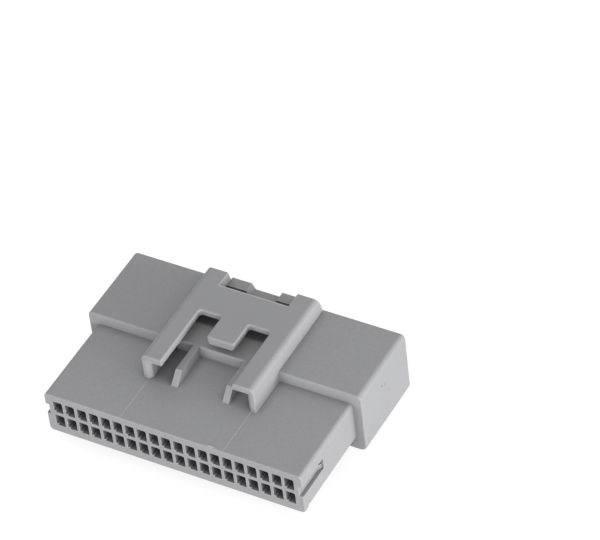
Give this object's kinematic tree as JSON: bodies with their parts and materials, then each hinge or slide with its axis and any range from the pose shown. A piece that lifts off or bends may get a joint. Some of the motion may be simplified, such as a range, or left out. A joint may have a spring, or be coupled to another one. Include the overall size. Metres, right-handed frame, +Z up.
{
  "type": "rectangular automotive connector housing",
  "caption": "Rectangular two-row wire connector housing with a hooded mating mouth, a latch bridge on top and a comb retainer in its underside.",
  "frame": {"origin": "middle of the bounding box in X and Y, at the level of the hood's underside", "axes": "+X along the rows of cavities, +Y from the wire face to the mating mouth, +Z up through the bridge"},
  "size_m": [0.0498, 0.0324, 0.0152],
  "materials": {
    "housing_plastic": "matt moulded grey",
    "retainer_plastic": "matt moulded natural white"
  },
  "bodies": {
    "housing": {"housing": "housing_plastic"},
    "retainer": {"retainer": "retainer_plastic"}
  },
  "joints": [
    {"name": "retainer_lock", "type": "slide", "parent": "housing", "child": "retainer", "axis": [0, 0, 1], "range_m": [0, 0.0007]}
  ]
}
